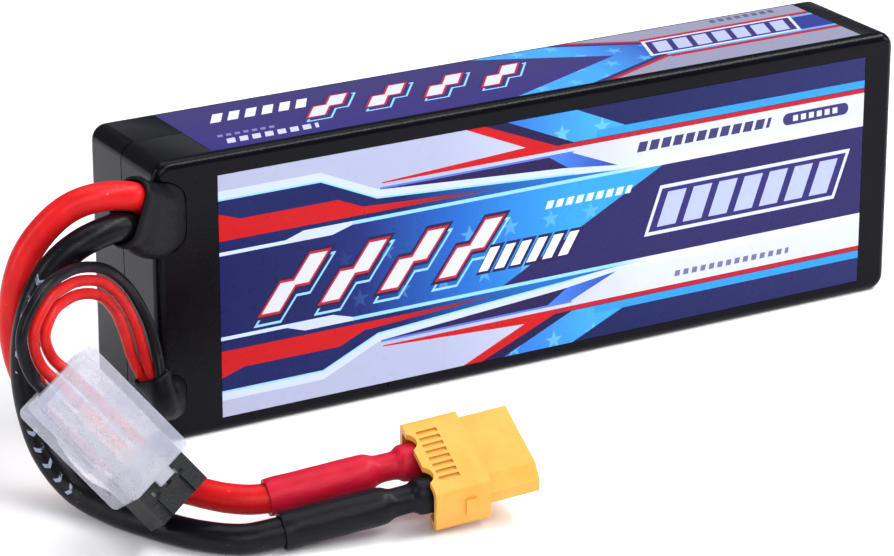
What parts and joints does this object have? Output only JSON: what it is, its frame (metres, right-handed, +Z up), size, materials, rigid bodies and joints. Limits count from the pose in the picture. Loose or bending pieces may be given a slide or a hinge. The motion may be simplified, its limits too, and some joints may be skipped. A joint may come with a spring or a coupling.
{
  "type": "hard-case lithium battery pack",
  "caption": "Hard-case model battery pack with a printed label, black and red power leads to a yellow keyed plug, and a balance lead held in a clear snap clip.",
  "frame": {"origin": "centre of the hard case's bottom face, on the surface the pack stands on", "axes": "+X along the case away from its leads, +Y from the labelled face to the back face, +Z up"},
  "size_m": [0.1718, 0.0784, 0.046],
  "materials": {
    "case": "semi-gloss moulded black",
    "label": "gloss printed film, pattern made in the render",
    "cell_foil": "satin laminated pouch foil",
    "foam": "closed-cell foam",
    "tape": "double-sided foam tape",
    "tab_aluminium": "bright strip",
    "tab_nickel": "nickel-plated copper strip",
    "copper": "bare copper strip",
    "board": "green solder mask",
    "paper": "fish paper",
    "boot": "satin black rubber",
    "black_silicone": "satin silicone",
    "red_silicone": "satin silicone",
    "tinned_strands": "tinned copper strands",
    "black_shrink": "semi-gloss shrink sleeve",
    "red_shrink": "semi-gloss shrink sleeve",
    "connector_yellow": "fine satin nylon",
    "gold_brass": "gold-plated",
    "plug_black": "satin nylon",
    "tinned_terminal": "tinned bronze",
    "clip_clear": "milky clear plastic"
  },
  "bodies": {
    "pack": {"case_front": "case", "case_back": "case", "label_front": "label", "label_top": "label", "cell_front": "cell_foil", "cell_back": "cell_foil", "cell_pad": "foam", "tape_front": "tape", "tape_back": "tape", "positive_tabs": "tab_aluminium", "negative_tabs": "tab_nickel", "series_bar": "copper", "tap_board": "board", "insulating_paper": "paper", "main_boot": "boot", "balance_boot": "boot", "lead_black": "black_silicone", "lead_red": "red_silicone", "core_black": "tinned_strands", "core_red": "tinned_strands", "sleeve_black": "black_shrink", "sleeve_red": "red_shrink", "connector_housing": "connector_yellow", "connector_cap": "connector_yellow", "contact_negative": "gold_brass", "contact_positive": "gold_brass", "balance_wire_black": "black_silicone", "balance_wire_tap": "red_silicone", "balance_wire_red": "red_silicone", "plug_housing": "plug_black", "plug_terminals": "tinned_terminal", "clip_lower": "clip_clear"},
    "cover": {"clip_cover": "clip_clear"}
  },
  "joints": [
    {"name": "clip_cover_lift", "type": "slide", "parent": "pack", "child": "cover", "axis": [-0.0093, -0.8486, 0.529], "range_m": [0, 0.006]}
  ]
}
